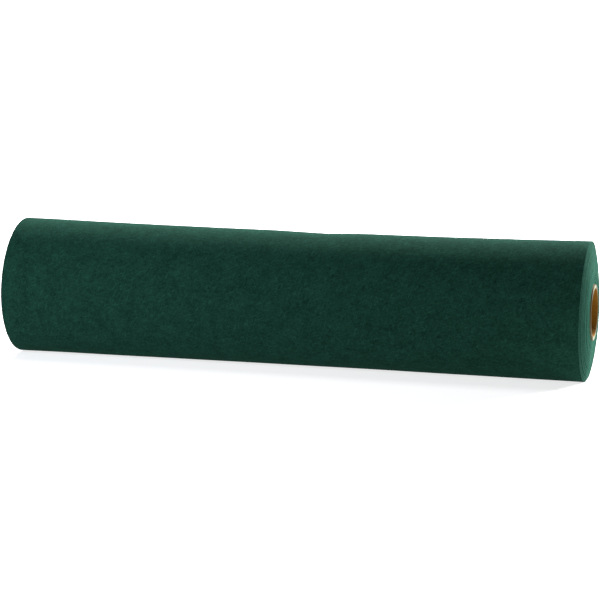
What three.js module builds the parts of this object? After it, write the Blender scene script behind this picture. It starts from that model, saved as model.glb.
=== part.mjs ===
// A roll of craft felt wound on a cardboard tube, lying on its side.
// Millimetres, +Z up. +X runs along the roll towards the end whose face is pushed out, and the
// origin is on the surface that the roll lies on, at the middle of the space that it takes.

import * as THREE from 'three';

// Cloth, as it was cut and wound
const CLOTH_WIDTH = 450;
const CLOTH_LENGTH = 5000;
const TURN_PITCH = 1.48; // 1.5 mm felt, pressed a little by the winding
const FREE_END_ANGLE = -35; // degrees above the horizontal at the back, so it lies low behind

// Cardboard tube
const CORE_OUTER_RADIUS = 21;
const CORE_INNER_RADIUS = 18;
const CORE_STANDS_OUT = 1; // past the innermost turn, at both ends
const CORE_EDGE_ROUND = 0.3;
const CORE_GAP = 0.32;

// How the wound roll has settled
const END_PUSHED_OUT = 3.5; // the inner turns have slid this far towards +X
const END_ROUNDNESS = 2.3; // 1 would be a cone
const RIM_ROUND = 0.5; // the felt's cut edge on the outermost turn
const FLAT_HALF_WIDTH = 9; // where the weight of the roll presses it flat
const WAIST_AT = 18; // the roll is wound tightest here, a little past the middle
const WAIST_DEPTH = 1.2; // taken off the radius there
const WAIST_SAG = 0.55; // share of that depth by which the turns sink; the underside lifts by the rest
const PRESS_AT = 14; // a shallow press across the top of the roll
const PRESS_HALF_LENGTH = 32;
const PRESS_DEPTH = 0.9;
const PRESS_ANGLE = 80;
const PRESS_HALF_ANGLE = 75;

// Fineness of the surfaces
const ROLL_COLUMNS = 80;
const ROLL_BAYS = 24;
const FACE_RINGS = 5;
const CORE_COLUMNS = 48;
const END_WALL_ANGLE = 0.5; // the step at the cloth's end leans this many degrees

// Worked out from the sizes above
const BORE_RADIUS = CORE_OUTER_RADIUS + CORE_GAP;
const ROLL_RADIUS = Math.sqrt(BORE_RADIUS ** 2 + (CLOTH_LENGTH * TURN_PITCH) / Math.PI);
const OVERALL_LENGTH = CLOTH_WIDTH + END_PUSHED_OUT + CORE_STANDS_OUT;
const RIGHT_TIP = OVERALL_LENGTH / 2;
const RIGHT_RIM = RIGHT_TIP - CORE_STANDS_OUT - END_PUSHED_OUT;
const LEFT_RIM = RIGHT_RIM - CLOTH_WIDTH;
const CORE_RIGHT = RIGHT_TIP;
const CORE_LEFT = LEFT_RIM + END_PUSHED_OUT - CORE_STANDS_OUT;

// Angles round the roll are in degrees from the back, +Y, over the top, +Z.
const BACK = 0;
const FRONT = 180;
const BELOW = 270;

// Degrees from one angle on to another, from 0 up to a whole turn.
function degreesPast(start, angle) {
  return (((angle - start) % 360) + 360) % 360;
}

// The outermost turn's radius at an angle. It shrinks by one pitch in a whole turn, counted
// from the cloth's free end.
function turnRadius(angle) {
  return ROLL_RADIUS + TURN_PITCH * (0.5 - degreesPast(FREE_END_ANGLE, angle) / 360);
}

const UNDERSIDE_RADIUS = turnRadius(BELOW);
const PRESSED_IN = UNDERSIDE_RADIUS - Math.sqrt(UNDERSIDE_RADIUS ** 2 - FLAT_HALF_WIDTH ** 2);
const AXIS_HEIGHT = UNDERSIDE_RADIUS - PRESSED_IN;
const AXIS_BACK = (turnRadius(FRONT) - turnRadius(BACK)) / 2; // centres the roll front to back

// Narrower towards the waist, as a parabola that is zero at both rims.
function waist(x) {
  const reach = x < WAIST_AT ? WAIST_AT - LEFT_RIM : RIGHT_RIM - WAIST_AT;
  return WAIST_DEPTH * Math.max(0, 1 - ((x - WAIST_AT) / reach) ** 2);
}

// A smooth hump, 1 at the middle and 0 from one half-width out.
function hump(offset, halfWidth) {
  const t = Math.min(1, Math.abs(offset) / halfWidth);
  return (1 + Math.cos(Math.PI * t)) / 2;
}

function topPress(x, angle) {
  const fromTop = degreesPast(PRESS_ANGLE - 180, angle) - 180;
  return PRESS_DEPTH * hump(x - PRESS_AT, PRESS_HALF_LENGTH) * hump(fromTop, PRESS_HALF_ANGLE);
}

// How far a turn has slid towards +X. share is 0 at the bore and 1 at the outermost turn.
function slid(share) {
  return END_PUSHED_OUT * (1 - share ** END_ROUNDNESS);
}

// The closed outline that is turned into the roll: share of the wound thickness against the
// place along the cloth's width, from the left rim to the right rim and back through the bore.
function rollOutline() {
  const rimShare = 1 - RIM_ROUND / (ROLL_RADIUS - BORE_RADIUS);
  const outline = [];
  for (let i = 0; i <= ROLL_BAYS; i++) {
    const along = RIM_ROUND + (i / ROLL_BAYS) * (CLOTH_WIDTH - 2 * RIM_ROUND);
    outline.push(new THREE.Vector2(1, along));
  }
  for (let i = FACE_RINGS; i >= 0; i--) {
    outline.push(new THREE.Vector2((rimShare * i) / FACE_RINGS, CLOTH_WIDTH));
  }
  for (let i = 0; i <= FACE_RINGS; i++) {
    outline.push(new THREE.Vector2((rimShare * i) / FACE_RINGS, 0));
  }
  outline.push(outline[0].clone());
  return outline;
}

// The columns of the roll start at the cloth's free end and go once round. The last one is back
// at the first, and the strip before it is squeezed to the thin step where the cloth ends.
function columnAngle(column) {
  if (column === ROLL_COLUMNS) return FREE_END_ANGLE;
  return FREE_END_ANGLE + (column / (ROLL_COLUMNS - 1)) * (360 - END_WALL_ANGLE);
}

function feltRoll() {
  const outline = rollOutline();
  const geometry = new THREE.LatheGeometry(outline, ROLL_COLUMNS);
  const places = geometry.attributes.position;
  for (let column = 0; column <= ROLL_COLUMNS; column++) {
    const angle = columnAngle(column);
    const radians = THREE.MathUtils.degToRad(angle);
    const woundThickness = turnRadius(angle) - BORE_RADIUS;
    outline.forEach(({ x: share, y: along }, row) => {
      const x = LEFT_RIM + along + slid(share);
      const narrowing = waist(x) * share;
      const radius = BORE_RADIUS + (woundThickness - topPress(x, angle)) * share - narrowing;
      const y = AXIS_BACK + radius * Math.cos(radians);
      const z = AXIS_HEIGHT - WAIST_SAG * narrowing + radius * Math.sin(radians);
      places.setXYZ(column * outline.length + row, x, y, Math.max(0, z));
    });
  }
  geometry.computeVertexNormals();
  return geometry;
}

function coreTube() {
  const outline = [
    [CORE_OUTER_RADIUS, CORE_LEFT + CORE_EDGE_ROUND],
    [CORE_OUTER_RADIUS, CORE_RIGHT - CORE_EDGE_ROUND],
    [CORE_OUTER_RADIUS - CORE_EDGE_ROUND, CORE_RIGHT],
    [CORE_INNER_RADIUS, CORE_RIGHT],
    [CORE_INNER_RADIUS, CORE_LEFT],
    [CORE_OUTER_RADIUS - CORE_EDGE_ROUND, CORE_LEFT],
    [CORE_OUTER_RADIUS, CORE_LEFT + CORE_EDGE_ROUND],
  ].map(([radius, x]) => new THREE.Vector2(radius, x));
  const geometry = new THREE.LatheGeometry(outline, CORE_COLUMNS);
  geometry.rotateZ(-Math.PI / 2);
  geometry.translate(0, AXIS_BACK, AXIS_HEIGHT);
  return geometry;
}

const felt = new THREE.Mesh(
  feltRoll(),
  new THREE.MeshStandardMaterial({ color: 0x2c6450, roughness: 0.95, metalness: 0 }),
);
felt.name = 'felt_roll';

const core = new THREE.Mesh(
  coreTube(),
  new THREE.MeshStandardMaterial({ color: 0xb08f62, roughness: 0.85, metalness: 0 }),
);
core.name = 'core_tube';

const roll = new THREE.Group();
roll.add(felt, core);

export default roll;
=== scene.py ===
# A roll of dark green craft felt, wound on a cardboard tube and lying on its side.

import math

import bpy
import numpy as np
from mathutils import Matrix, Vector


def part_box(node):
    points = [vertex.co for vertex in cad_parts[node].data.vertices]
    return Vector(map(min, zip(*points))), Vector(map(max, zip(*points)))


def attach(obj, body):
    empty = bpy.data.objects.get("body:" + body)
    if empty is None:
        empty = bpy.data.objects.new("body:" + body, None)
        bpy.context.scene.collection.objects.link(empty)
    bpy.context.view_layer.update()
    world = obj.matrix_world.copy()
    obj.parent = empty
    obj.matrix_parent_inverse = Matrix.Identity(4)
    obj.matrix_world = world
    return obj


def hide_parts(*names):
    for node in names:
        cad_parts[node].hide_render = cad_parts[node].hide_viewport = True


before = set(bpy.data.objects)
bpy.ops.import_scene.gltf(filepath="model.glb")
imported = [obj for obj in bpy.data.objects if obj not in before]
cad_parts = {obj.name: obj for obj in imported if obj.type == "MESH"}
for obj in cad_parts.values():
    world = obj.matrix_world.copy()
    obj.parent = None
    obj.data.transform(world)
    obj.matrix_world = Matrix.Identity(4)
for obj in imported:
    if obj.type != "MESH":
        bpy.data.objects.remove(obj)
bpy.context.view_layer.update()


# Camera. It stands to the right of the roll's middle and looks a little down on it, through a
# long lens, so that the near end face shows as a narrow oval.
camera_turned_left = math.radians(14.896)
camera_tilted_down = math.radians(10.836)
camera_place = Vector((0.45292, -1.70655, 0.38792))
camera_lens = 139.565
camera_reach = 50

bpy.ops.object.camera_add(
    location=camera_place,
    rotation=(math.pi / 2 - camera_tilted_down, 0, camera_turned_left),
)
camera = bpy.context.object
camera.name = "camera"
camera.data.lens = camera_lens
camera.data.clip_end = camera_reach
bpy.context.scene.camera = camera
bpy.context.scene.view_settings.view_transform = "Standard"


# Floor. One white sheet on a table that is lit from below, so that hardly a shadow shows. It is
# flat under the roll and swept up behind it in a wide curve.
floor_width = 16.0
floor_depth = 13.0
floor_back = 3.0
sweep_height = 4.0
sweep_round = 1.2
sweep_segments = 16
paper_dark = (0.38, 0.38, 0.38, 1)
paper_pale = (0.41, 0.41, 0.41, 1)
paper_glow = 0.75


class Look:
    """A socket of a material. Sums on it add Math nodes to the same material."""

    def __init__(self, tree, socket):
        self.tree = tree
        self.socket = socket

    def node(self, kind, settings, sockets, output=0):
        made = self.tree.nodes.new(kind)
        for name, value in settings.items():
            if name == "stops":
                self.set_stops(made.color_ramp.elements, value)
            else:
                setattr(made, name, value)
        for name, value in sockets.items():
            if isinstance(value, Look):
                self.tree.links.new(value.socket, made.inputs[name])
            else:
                made.inputs[name].default_value = value
        return Look(self.tree, made.outputs[output])

    def set_stops(self, elements, stops):
        while len(elements) < len(stops):
            elements.new(1.0)
        for element, (place, colour) in zip(elements, stops):
            element.position = place
            element.color = colour

    def math(self, operation, first, second=0.0):
        return self.node("ShaderNodeMath", {"operation": operation}, {0: first, 1: second})

    def __add__(self, other):
        return self.math("ADD", self, other)

    def __radd__(self, other):
        return self.math("ADD", other, self)

    def __sub__(self, other):
        return self.math("SUBTRACT", self, other)

    def __rsub__(self, other):
        return self.math("SUBTRACT", other, self)

    def __mul__(self, other):
        return self.math("MULTIPLY", self, other)

    def __rmul__(self, other):
        return self.math("MULTIPLY", other, self)

    def __truediv__(self, other):
        return self.math("DIVIDE", self, other)

    def __pow__(self, other):
        return self.math("POWER", self, other)

    def clamped(self):
        return self.node("ShaderNodeClamp", {}, {"Value": self})

    def blend(self, colour_a, colour_b):
        """The first colour where this is 0 and the second where it is 1."""
        settings = {"data_type": "RGBA"}
        return self.node("ShaderNodeMix", settings, {0: self, 6: colour_a, 7: colour_b}, 2)

    def feed(self, shader, name):
        self.tree.links.new(self.socket, shader.inputs[name])


def new_finish(name, coordinates="Object"):
    """A material, its shader, and the coordinates that its pattern follows."""
    material = bpy.data.materials.new(name)
    material.use_nodes = True
    tree = material.node_tree
    shader = tree.nodes["Principled BSDF"]
    places = tree.nodes.new("ShaderNodeTexCoord").outputs[coordinates]
    return material, shader, Look(tree, places)


def give(piece, *materials):
    piece.data.materials.clear()
    for material in materials:
        piece.data.materials.append(material)


def select_edges(piece, wanted):
    """Selects the edges whose two ends both pass the test, and goes to edit mode."""
    bpy.ops.object.mode_set(mode="EDIT")
    bpy.ops.mesh.select_mode(type="EDGE")
    bpy.ops.mesh.select_all(action="DESELECT")
    bpy.ops.object.mode_set(mode="OBJECT")
    points = piece.data.vertices
    for edge in piece.data.edges:
        edge.select = all(wanted(points[i].co) for i in edge.vertices)
    bpy.ops.object.mode_set(mode="EDIT")


bpy.ops.object.select_all(action="DESELECT")
bpy.ops.mesh.primitive_plane_add(size=1, location=(0, floor_back - floor_depth / 2, 0))
floor = bpy.context.object
floor.name = "floor"
floor.scale = (floor_width, floor_depth, 1)
bpy.ops.object.transform_apply(location=True, rotation=True, scale=True)
select_edges(floor, lambda co: co.y > 0)
bpy.ops.mesh.extrude_region_move(TRANSFORM_OT_translate={"value": (0, 0, sweep_height)})
bpy.ops.object.mode_set(mode="OBJECT")
sweep = floor.modifiers.new("sweep", "BEVEL")
sweep.width = sweep_round
sweep.segments = sweep_segments
bpy.ops.object.modifier_apply(modifier=sweep.name)
bpy.ops.object.shade_smooth()

paper, paper_shader, paper_place = new_finish("white_sheet")
paper_grain = paper_place.node("ShaderNodeTexNoise", {}, {"Vector": paper_place, "Scale": 6.0})
paper_grain.blend(paper_dark, paper_pale).feed(paper_shader, "Base Color")
paper_shader.inputs["Roughness"].default_value = 0.9
paper_shader.inputs["Emission Color"].default_value = (1, 1, 1, 1)
paper_shader.inputs["Emission Strength"].default_value = paper_glow
give(floor, paper)


# Light. A long soft box behind and above the roll draws the pale band along its top, one from
# overhead keeps the table bright, one beyond the right end lights the end face, and a weak,
# slightly blue one with a grid lifts the left half of the near side.
def soft_box(name, place, aim, width, height, power, colour=(1, 1, 1), spread=180):
    bpy.ops.object.light_add(type="AREA", location=place)
    box = bpy.context.object
    box.name = name
    box.rotation_euler = (Vector(aim) - Vector(place)).to_track_quat("-Z", "Y").to_euler()
    box.data.shape = "RECTANGLE"
    box.data.size = width
    box.data.size_y = height
    box.data.energy = power
    box.data.color = colour
    box.data.spread = math.radians(spread)


soft_box("back_light", (0.1, 1.70, 1.45), (0, 0, 0.05), width=2.4, height=0.5, power=214)
soft_box("top_light", (0, -0.25, 2.2), (0, -0.1, 0), width=1.8, height=1.0, power=21)
soft_box("end_light", (1.70, 1.50, 0.45), (0.2, 0, 0.05), width=0.5, height=0.4, power=253)
soft_box(
    "left_light",
    (-0.45, -0.90, 0.45),
    (-0.2, 0, 0.05),
    width=0.3,
    height=0.3,
    power=0.65,
    colour=(0.90, 1, 1.15),
    spread=50,
)

room_colour = (0.93, 1.0, 1.08, 1)
room_strength = 0.182
room = bpy.data.worlds.new("room")
bpy.context.scene.world = room
room.use_nodes = True
room_light = room.node_tree.nodes["Background"]
room_light.inputs["Color"].default_value = room_colour
room_light.inputs["Strength"].default_value = room_strength


# Core tube. Strips of grey and brown board are wound in a helix and glued to a tube 42 mm
# across, with a bore of 36 mm, and sawn off square, so the plies show as rings on its ends.
tube_low, tube_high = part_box("core_tube")
axis_y = (tube_low[1] + tube_high[1]) / 2
axis_z = (tube_low[2] + tube_high[2]) / 2
tube_radius = (tube_high[2] - tube_low[2]) / 2
tube_bore_radius = 0.018
tube_columns = 144
tube_bays = 40
ply_count = 6
points_a_ply = 4
ply_fray = 0.00022
glue_line_depth = 0.0003
saw_waver = 0.00012
sawn_zone = 0.001
touching = 1e-5
merge_within = 1e-6
crease_angle = math.radians(50)

# The wall's section, as one flat rectangle above the axis. Its short sides become the sawn
# ends, with a row of points for each ply and for the glue line under it.
tube_middle_x = (tube_low[0] + tube_high[0]) / 2
wall_middle = (tube_radius + tube_bore_radius) / 2
bpy.ops.object.select_all(action="DESELECT")
bpy.ops.mesh.primitive_plane_add(
    size=1,
    location=(tube_middle_x, axis_y, axis_z + wall_middle),
    rotation=(math.pi / 2, 0, 0),
)
core = bpy.context.object
core.name = "cardboard_tube"
core.scale = (tube_high[0] - tube_low[0], tube_radius - tube_bore_radius, 1)
bpy.ops.object.transform_apply(location=True, rotation=True, scale=True)
bpy.ops.object.mode_set(mode="EDIT")
bpy.ops.mesh.select_all(action="SELECT")
bpy.ops.mesh.delete(type="ONLY_FACE")
bpy.ops.object.mode_set(mode="OBJECT")
for end_x in (tube_low[0], tube_high[0]):
    select_edges(core, lambda co: abs(co.x - end_x) < touching)
    bpy.ops.mesh.subdivide(number_cuts=points_a_ply * ply_count - 1)
    bpy.ops.object.mode_set(mode="OBJECT")
for wall in (tube_radius, tube_bore_radius):
    select_edges(core, lambda co: abs(co.z - axis_z - wall) < touching)
    bpy.ops.mesh.subdivide(number_cuts=tube_bays - 1)
    bpy.ops.object.mode_set(mode="OBJECT")

# The points of a ply are frayed unevenly, each by one of five steps.
for vertex in core.data.vertices:
    for end_x, outward in ((tube_low[0], -1), (tube_high[0], 1)):
        if abs(vertex.co.x - end_x) < touching:
            depth = (tube_radius - (vertex.co.z - axis_z)) / (tube_radius - tube_bore_radius)
            point = round(depth * points_a_ply * ply_count)
            is_glue_line = point % points_a_ply == 0
            sunk = glue_line_depth if is_glue_line else ply_fray * (point * 7 % 5) / 4
            vertex.co.x -= outward * sunk
bpy.ops.object.mode_set(mode="EDIT")
bpy.ops.mesh.select_all(action="SELECT")
bpy.ops.mesh.spin(
    steps=tube_columns,
    angle=2 * math.pi,
    center=(0, axis_y, axis_z),
    axis=(1, 0, 0),
)
bpy.ops.mesh.select_all(action="SELECT")
bpy.ops.mesh.remove_doubles(threshold=merge_within)
bpy.ops.mesh.normals_make_consistent(inside=False)
bpy.ops.object.mode_set(mode="OBJECT")

# The saw's marks go in by up to saw_waver, in three ripples round the tube.
for vertex in core.data.vertices:
    around = math.atan2(vertex.co.z - axis_z, vertex.co.y - axis_y)
    if min(abs(vertex.co.x - tube_low[0]), abs(vertex.co.x - tube_high[0])) < sawn_zone:
        saw = math.sin(3 * around + 1) + 0.6 * math.sin(11 * around) + 0.4 * math.sin(23 * around)
        vertex.co.x -= math.copysign(saw_waver * (2 + saw) / 4, vertex.co.x)
bpy.ops.object.shade_smooth_by_angle(angle=crease_angle)

strip_pitch = 0.105
seam_width = 0.0007
board, board_shader, board_place = new_finish("wound_cardboard")
board_parts = board_place.tree.nodes.new("ShaderNodeSeparateXYZ")
board_place.tree.links.new(board_place.socket, board_parts.inputs[0])
board_x, board_y, board_z = (Look(board_place.tree, out) for out in board_parts.outputs)
board_y = board_y - axis_y
board_z = board_z - axis_z
board_turned = board_x.math("ARCTAN2", board_z, board_y) / (2 * math.pi)
board_across = (board_y * board_y + board_z * board_z) ** 0.5
wall_share = (board_across - tube_bore_radius) / (tube_radius - tube_bore_radius)

# The place across a strip, from 0 at one butt joint to 1 at the next.
on_strip = board_x.math("FRACT", board_x / strip_pitch + board_turned)
from_joint = 0.5 - board_x.math("ABSOLUTE", on_strip - 0.5)
joint = board_x.node(
    "ShaderNodeMapRange",
    {"interpolation_type": "SMOOTHSTEP"},
    {"Value": from_joint, "From Max": seam_width / strip_pitch, "To Min": 1.0, "To Max": 0.0},
)
pulp = board_place.node(
    "ShaderNodeTexNoise", {}, {"Vector": board_place, "Scale": 900.0, "Detail": 4.0}
)
mottle = board_place.node(
    "ShaderNodeTexNoise", {}, {"Vector": board_place, "Scale": 60.0, "Detail": 2.0}
)
plies = wall_share.node(
    "ShaderNodeValToRGB",
    {
        "stops": [
            (0.00, (0.172, 0.080, 0.009, 1)),
            (0.07, (0.172, 0.084, 0.013, 1)),
            (0.12, (0.165, 0.165, 0.119, 1)),
            (0.50, (0.192, 0.202, 0.150, 1)),
            (0.92, (0.173, 0.171, 0.123, 1)),
            (0.98, (0.077, 0.045, 0.015, 1)),
        ]
    },
    {"Fac": wall_share},
)
speckle = (pulp * 0.7 + mottle * 0.3).blend((0.55, 0.55, 0.55, 1), (1.25, 1.25, 1.25, 1))
speckled = {"data_type": "RGBA", "blend_type": "MULTIPLY"}
board_tint = plies.node("ShaderNodeMix", speckled, {0: 1.0, 6: plies, 7: speckle}, 2)
joint_tint = (0.046, 0.023, 0.008, 1)
(joint * 0.7).blend(board_tint, joint_tint).feed(board_shader, "Base Color")
(0.75 + 0.2 * pulp).feed(board_shader, "Roughness")
board_shader.inputs["Specular IOR Level"].default_value = 0.062
board_relief = pulp * 0.4 + mottle * 0.3 - joint * 2.0
board_x.node(
    "ShaderNodeBump", {}, {"Height": board_relief, "Distance": 0.0001, "Strength": 0.6}
).feed(board_shader, "Normal")
give(core, board)
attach(core, "root")
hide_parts("core_tube")


# Felt. One length of matted fibre, 450 mm wide and 5 m long, is laid flat as it was cut and then
# wound up on the tube. It is held by nothing but its own grip, so its free end lies loose low
# at the back, its inner turns have slid towards the near end, and it has settled flat below.
_, roll_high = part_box("felt_roll")
cloth_width = 0.450
cloth_length = 5.000
felt_thickness = 0.00140
turn_pitch = 0.00148
pushed_out = 0.0035
end_roundness = 2.3
waist_at = 0.018
waist_depth = 0.0012
waist_sag = 0.55
press_at = 0.014
press_half_length = 0.032
press_depth = 0.0009
press_angle = math.radians(80)
press_half_angle = math.radians(75)
free_end_angle = math.radians(-35)
core_gap = 0.00032

bore_radius = tube_radius + core_gap
roll_radius = math.sqrt(bore_radius ** 2 + cloth_length * turn_pitch / math.pi)
right_rim = roll_high[0] - pushed_out
left_rim = right_rim - cloth_width

# The sheet's rows run along its width, and its columns along its length.
rows = 30
outer_columns = 240
inner_columns_a_turn = 48
turn_count = (roll_radius - bore_radius) / turn_pitch + 0.5 - felt_thickness / turn_pitch
inner_columns = int((turn_count - 1) * inner_columns_a_turn)
columns = outer_columns + inner_columns

bpy.ops.object.select_all(action="DESELECT")
bpy.ops.mesh.primitive_grid_add(x_subdivisions=rows, y_subdivisions=columns, size=1)
felt = bpy.context.object
felt.name = "felt_cloth"


def hump(offset, half_width):
    t = np.clip(np.abs(offset) / half_width, 0, 1)
    return (1 + np.cos(math.pi * t)) / 2


def waver(places, periods, phases):
    """A slow wave of sines that never quite repeats, between -1 and 1."""
    waves = [np.sin(2 * math.pi * places / p + q) for p, q in zip(periods, phases)]
    return sum(waves) / len(waves)


flat_places = np.empty(len(felt.data.vertices) * 3)
felt.data.vertices.foreach_get("co", flat_places)
flat_places = flat_places.reshape(-1, 3)
across_share = flat_places[:, 0] + 0.5
column = np.rint((flat_places[:, 1] + 0.5) * columns)

# Rows crowd together towards the two cut edges.
crowding = 0.11
along = cloth_width * (across_share - crowding * np.sin(2 * math.pi * across_share) / 2)

# Turns counted inwards from the free end. The outermost one has the finest columns.
turns = np.where(
    column <= outer_columns,
    column / outer_columns,
    1 + (column - outer_columns) / inner_columns_a_turn,
)
angle = free_end_angle + 2 * math.pi * turns

# The first turns lie close on the tube and climb over the cloth's inner end, and by the fifth
# turn the spiral is even.
hugging_turns = 4
climb_share = 0.1
from_inside = turns.max() - turns
within_turn = from_inside - np.floor(from_inside)
hugging = np.clip(1 - np.floor(from_inside) / hugging_turns, 0, 1)
climb = np.clip((within_turn - (1 - climb_share)) / climb_share, 0, 1)
climb = climb * climb * (3 - 2 * climb)
wound = from_inside - hugging * within_turn * (1 - climb)
wound_radius = bore_radius + felt_thickness / 2 + turn_pitch * wound

outer_surface = roll_radius + turn_pitch * (0.5 - (turns - np.floor(turns)))
share = (wound_radius - bore_radius) / (outer_surface - bore_radius)

# The two cut edges waver from turn to turn, and both end faces lean and warp a little.
waver_height = 0.00022
lean_height = 0.00015
warp_height = 0.0006
edge_waver = waver_height * waver(turns, (0.71, 0.37, 1.9, 5.3), (0.4, 2.0, 1.0, 3.3))
lean = (lean_height - warp_height * np.cos(angle)) * np.sin(angle) * share
slid = pushed_out * (1 - share ** end_roundness)
x = left_rim + along + slid + edge_waver + lean
reach = np.where(x < waist_at, waist_at - left_rim, right_rim - waist_at)
narrowing = waist_depth * np.clip(1 - ((x - waist_at) / reach) ** 2, 0, 1) * share
from_top = (angle - press_angle + 3 * math.pi) % (2 * math.pi) - math.pi
press = press_depth * hump(x - press_at, press_half_length) * hump(from_top, press_half_angle)

# Low, soft unevenness of the outer turns.
uneven_height = 0.00022
uneven_along = waver(x, (0.083, 0.131, 0.219), (0.3, 1.7, 4.0))
uneven_around = waver(angle, (1.9, 2.7, 4.3), (0.5, 2.2, 1.0))
uneven = uneven_height * (uneven_along * uneven_around) * share ** 4

# The last 9 mm of cloth lift a little from the turn below, more at some places than others.
lift_height = 0.0006
lift_varies_by = 0.5
lifted_length = 0.009
from_end = turns * 2 * math.pi * roll_radius
lift = lift_height * np.clip(1 - from_end / lifted_length, 0, 1) ** 2
lift = lift * (1 + lift_varies_by * waver(x, (0.17, 0.09), (1, 2)))

radius = wound_radius - press * share - narrowing + uneven + lift
y = axis_y + radius * np.cos(angle)
z = axis_z - waist_sag * narrowing + radius * np.sin(angle)

# Below, each turn is pressed flat against the one under it, less and less further in.
pressed_pitch = 0.00141
pressed_below = -0.7
lowest = felt_thickness / 2 + pressed_pitch * np.floor(turns)
z = np.maximum(z, np.where(np.sin(angle) < pressed_below, lowest, z))

felt.data.vertices.foreach_set("co", np.stack([x, y, z], axis=1).ravel())
felt.data.update()

# The cloth's own coordinates in metres: across its width, and along its length from the end.
metres_along = turns * 2 * math.pi * (roll_radius - turn_pitch * turns / 2)
corner_points = np.empty(len(felt.data.loops), dtype=np.int64)
felt.data.loops.foreach_get("vertex_index", corner_points)
cloth_map = felt.data.uv_layers.new(name="cloth")
felt.data.uv_layers.active = cloth_map
cloth_map.data.foreach_set(
    "uv", np.stack([along[corner_points], metres_along[corner_points]], axis=1).ravel()
)
felt.data.uv_layers.remove(felt.data.uv_layers[0])

edge_round = 0.0004
edge_round_segments = 2
edge_angle = math.radians(60)
thick = felt.modifiers.new("thickness", "SOLIDIFY")
thick.thickness = felt_thickness
thick.offset = 0
thick.material_offset_rim = 1
rounded = felt.modifiers.new("cut_edge", "BEVEL")
rounded.width = edge_round
rounded.segments = edge_round_segments
rounded.limit_method = "ANGLE"
rounded.angle_limit = edge_angle
rounded.use_clamp_overlap = True


def felt_finish(name, coordinates, dark, pale, painted_light_inwards=0.0):
    """Matted fibres: short streaks laid in many directions over a cloudy dark green. Optionally,
    painted light makes the colour paler towards the roll's axis.
    """
    material, shader, place = new_finish(name, coordinates)
    middle_tone = 0.42
    streak_contrast, fine_contrast, cloud_contrast, fleck_contrast = 2.6, 1.15, 0.6, 0.40
    fleck_from, fleck_sharpness = 0.60, 5.0
    streaks = []
    for turned, length, width in (
        (0.25, 0.0065, 0.0012),
        (1.15, 0.0060, 0.0011),
        (1.95, 0.0050, 0.0012),
        (2.75, 0.0055, 0.0010),
    ):
        laid = place.node(
            "ShaderNodeMapping",
            {"vector_type": "TEXTURE"},
            {"Vector": place, "Rotation": (0, 0, turned), "Scale": (length, width, width)},
        )
        streaks.append(
            place.node(
                "ShaderNodeTexNoise",
                {},
                {"Vector": laid, "Scale": 1.0, "Detail": 2.0, "Distortion": 0.8},
            )
        )
    matted = (streaks[0] + streaks[1] + streaks[2] + streaks[3]) / 4
    fine = place.node("ShaderNodeTexNoise", {}, {"Vector": place, "Scale": 2200.0, "Detail": 3.0})
    cloudy = place.node("ShaderNodeTexNoise", {}, {"Vector": place, "Scale": 80.0, "Detail": 3.0})
    on_top = streaks[0].math("MAXIMUM", streaks[2], streaks[3])
    flecks = ((on_top - fleck_from) * fleck_sharpness).clamped()
    tone = (matted - 0.5) * streak_contrast + (fine - 0.5) * fine_contrast
    tone = tone + (cloudy - 0.5) * cloud_contrast + flecks * fleck_contrast + middle_tone
    # Painted light: the end faces are painted paler towards the core, in place of the brighter
    # light that falls on their flatter middle.
    if painted_light_inwards:
        sideways = {0: place, 1: (0, 1, 1), 2: (0, -axis_y, -axis_z)}
        sideways = place.node("ShaderNodeVectorMath", {"operation": "MULTIPLY_ADD"}, sideways)
        across = place.node("ShaderNodeVectorMath", {"operation": "LENGTH"}, {0: sideways}, 1)
        tone = tone + painted_light_inwards * (1.0 - across / roll_radius)
    tone.clamped().blend(dark, pale).feed(shader, "Base Color")
    (0.88 + 0.1 * fine).feed(shader, "Roughness")
    relief = matted * 1.2 + fine * 0.5
    place.node(
        "ShaderNodeBump", {}, {"Height": relief, "Distance": 0.0005, "Strength": 0.5}
    ).feed(shader, "Normal")
    shader.inputs["Specular IOR Level"].default_value = 0.0092
    shader.inputs["Sheen Weight"].default_value = 0.0115
    shader.inputs["Sheen Roughness"].default_value = 0.55
    shader.inputs["Sheen Tint"].default_value = (0.20, 1.00, 0.66, 1)
    return material


face_dark = (0.0026, 0.0138, 0.0091, 1)
face_pale = (0.0102, 0.0442, 0.0300, 1)
edge_dark = (0.0030, 0.0151, 0.0101, 1)
edge_pale = (0.0109, 0.0458, 0.0310, 1)
give(
    felt,
    felt_finish("felt_face", "UV", face_dark, face_pale),
    # The cut edges carry painted light: they are painted paler towards the core.
    felt_finish("felt_cut_edge", "Object", edge_dark, edge_pale, painted_light_inwards=0.7),
)
for modifier in list(felt.modifiers):
    bpy.ops.object.modifier_apply(modifier=modifier.name)
bpy.ops.object.shade_smooth_by_angle(angle=crease_angle)
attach(felt, "root")
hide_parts("felt_roll")
